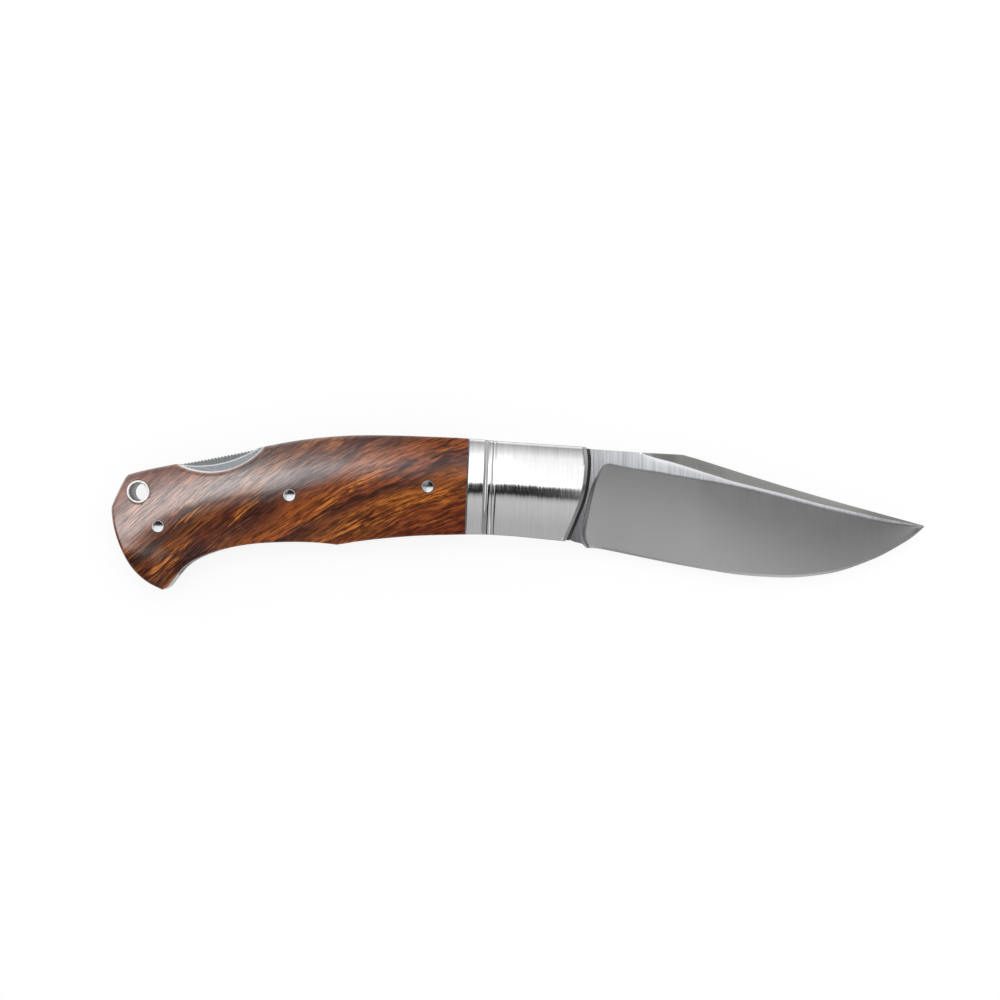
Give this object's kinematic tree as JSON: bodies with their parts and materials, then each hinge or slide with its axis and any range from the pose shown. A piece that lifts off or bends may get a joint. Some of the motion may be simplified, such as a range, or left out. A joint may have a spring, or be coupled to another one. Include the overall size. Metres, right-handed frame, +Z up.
{
  "type": "folding knife",
  "caption": "Back-lock folding knife lying open: clip-point blade, ringed steel bolsters, crowned wood scales with a thumb scoop, hooked pommel and lanyard tube.",
  "frame": {"origin": "on the flat crown of the lower bolster, level along the knife with the blade's pivot, on the surface that the knife lies on", "axes": "+X from the handle to the blade's tip, +Y to the knife's back, +Z up through its thickness"},
  "size_m": [0.1959, 0.0372, 0.014],
  "materials": {
    "blade_steel": "fine satin, lengthwise on the bevel and upright on the flats",
    "bolster_steel": "satin, brushed across the handle",
    "liner_steel": "ground edges",
    "spring_steel": "ground, left plain",
    "pin_steel": "polished flush with the scales",
    "tube_steel": "bright",
    "figured_wood": "oiled and polished red-brown hardwood with dark and gold figure"
  },
  "bodies": {
    "handle": {"rear_spacer": "spring_steel", "liner_left": "liner_steel", "liner_right": "liner_steel", "bolster_left": "bolster_steel", "bolster_right": "bolster_steel", "bolster_rivet_left": "bolster_steel", "bolster_rivet_right": "bolster_steel", "scale_left": "figured_wood", "scale_right": "figured_wood", "scale_pin_front_left": "pin_steel", "scale_pin_front_right": "pin_steel", "scale_pin_middle_left": "pin_steel", "scale_pin_middle_right": "pin_steel", "scale_pin_rear": "pin_steel", "pivot_pin": "pin_steel", "rocker_pin": "pin_steel", "lanyard_tube": "tube_steel"},
    "blade": {"blade": "blade_steel"},
    "lock_bar": {"lock_bar": "spring_steel"},
    "back_spring": {"back_spring": "spring_steel"}
  },
  "joints": [
    {"name": "blade_fold", "type": "hinge", "parent": "handle", "child": "blade", "pos_m": [0, -0.00229, 0.007], "axis": [0, 0, -1], "range_deg": [0, 170]},
    {"name": "lock_bar_rock", "type": "hinge", "parent": "handle", "child": "lock_bar", "pos_m": [-0.04674, 0.01074, 0.007], "axis": [0, 0, 1], "range_deg": [0, 3], "stiffness_Nm_per_rad": 0.5, "springref_deg": -17.19},
    {"name": "back_spring_flex", "type": "hinge", "parent": "handle", "child": "back_spring", "pos_m": [-0.09308, -0.00089, 0.007], "axis": [0, 0, -1], "range_deg": [0, 4.8]}
  ],
  "couplings": [
    {"joint": "back_spring_flex", "follows": "lock_bar_rock", "ratio": 1.6}
  ]
}
